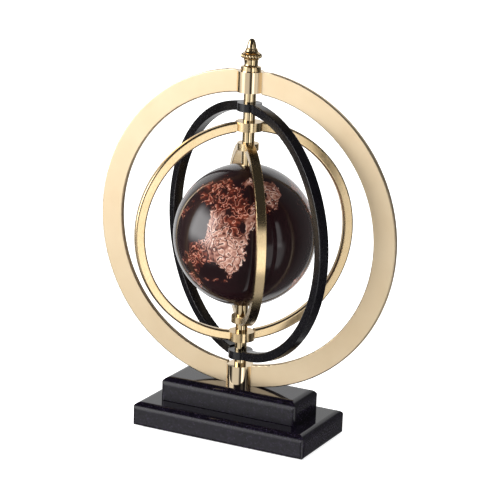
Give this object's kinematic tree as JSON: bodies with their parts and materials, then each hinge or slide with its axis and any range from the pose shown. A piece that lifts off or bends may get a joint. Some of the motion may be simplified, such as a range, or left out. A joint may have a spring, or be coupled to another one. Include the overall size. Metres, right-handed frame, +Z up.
{
  "type": "desktop globe on stand",
  "caption": "Desk globe: a glossy ball and nested rings that each turn on an upright rod, inside a large fixed brass ring on a stepped black stone plinth.",
  "frame": {"origin": "on the resting surface, under the middle of the plinth, on the axis of the upright rod", "axes": "+Z up along the rod, +X along the plinth's length, -Y towards the viewer"},
  "size_m": [0.288, 0.1388, 0.3576],
  "materials": {
    "felt": "matt",
    "black_stone": null,
    "zinc_steel": "zinc plated",
    "brushed_brass": "polished and lacquered, pale",
    "polished_brass": "polished",
    "ring_brass": "satin",
    "black_enamel": "gloss enamel",
    "nylon": "natural",
    "globe_lacquer": "high-gloss lacquer over a printed copper map"
  },
  "bodies": {
    "stand": {"felt_base": "felt", "lower_plinth": "black_stone", "upper_plinth": "black_stone", "clamp_washer": "zinc_steel", "spring_washer": "zinc_steel", "clamp_nut": "zinc_steel", "tie_rod": "zinc_steel", "outer_ring": "brushed_brass", "finial_check_ring": "polished_brass", "finial": "polished_brass", "upper_outer_tube": "polished_brass", "upper_middle_tube": "polished_brass", "upper_inner_tube": "polished_brass", "upper_globe_tube": "polished_brass", "lower_globe_tube": "polished_brass", "lower_inner_tube": "polished_brass", "lower_middle_tube": "polished_brass", "lower_outer_tube": "polished_brass", "black_ring_washers": "nylon", "middle_ring_washers": "nylon", "inner_ring_washers": "nylon", "globe_washer": "nylon"},
    "black_ring_body": {"black_ring": "black_enamel"},
    "middle_ring_body": {"middle_ring": "ring_brass"},
    "inner_ring_body": {"inner_ring": "ring_brass"},
    "globe_body": {"globe_north": "globe_lacquer", "globe_south": "globe_lacquer", "globe_joining_band": "ring_brass", "globe_bushes": "polished_brass"}
  },
  "joints": [
    {"name": "black_ring_swivel", "type": "hinge", "parent": "stand", "child": "black_ring_body", "pos_m": [0, 0, 0.183], "axis": [0, 0, 1], "continuous": true},
    {"name": "middle_ring_swivel", "type": "hinge", "parent": "stand", "child": "middle_ring_body", "pos_m": [0, 0, 0.183], "axis": [0, 0, 1], "continuous": true},
    {"name": "inner_ring_swivel", "type": "hinge", "parent": "stand", "child": "inner_ring_body", "pos_m": [0, 0, 0.183], "axis": [0, 0, 1], "continuous": true},
    {"name": "globe_spin", "type": "hinge", "parent": "stand", "child": "globe_body", "pos_m": [0, 0, 0.183], "axis": [0, 0, 1], "continuous": true}
  ]
}
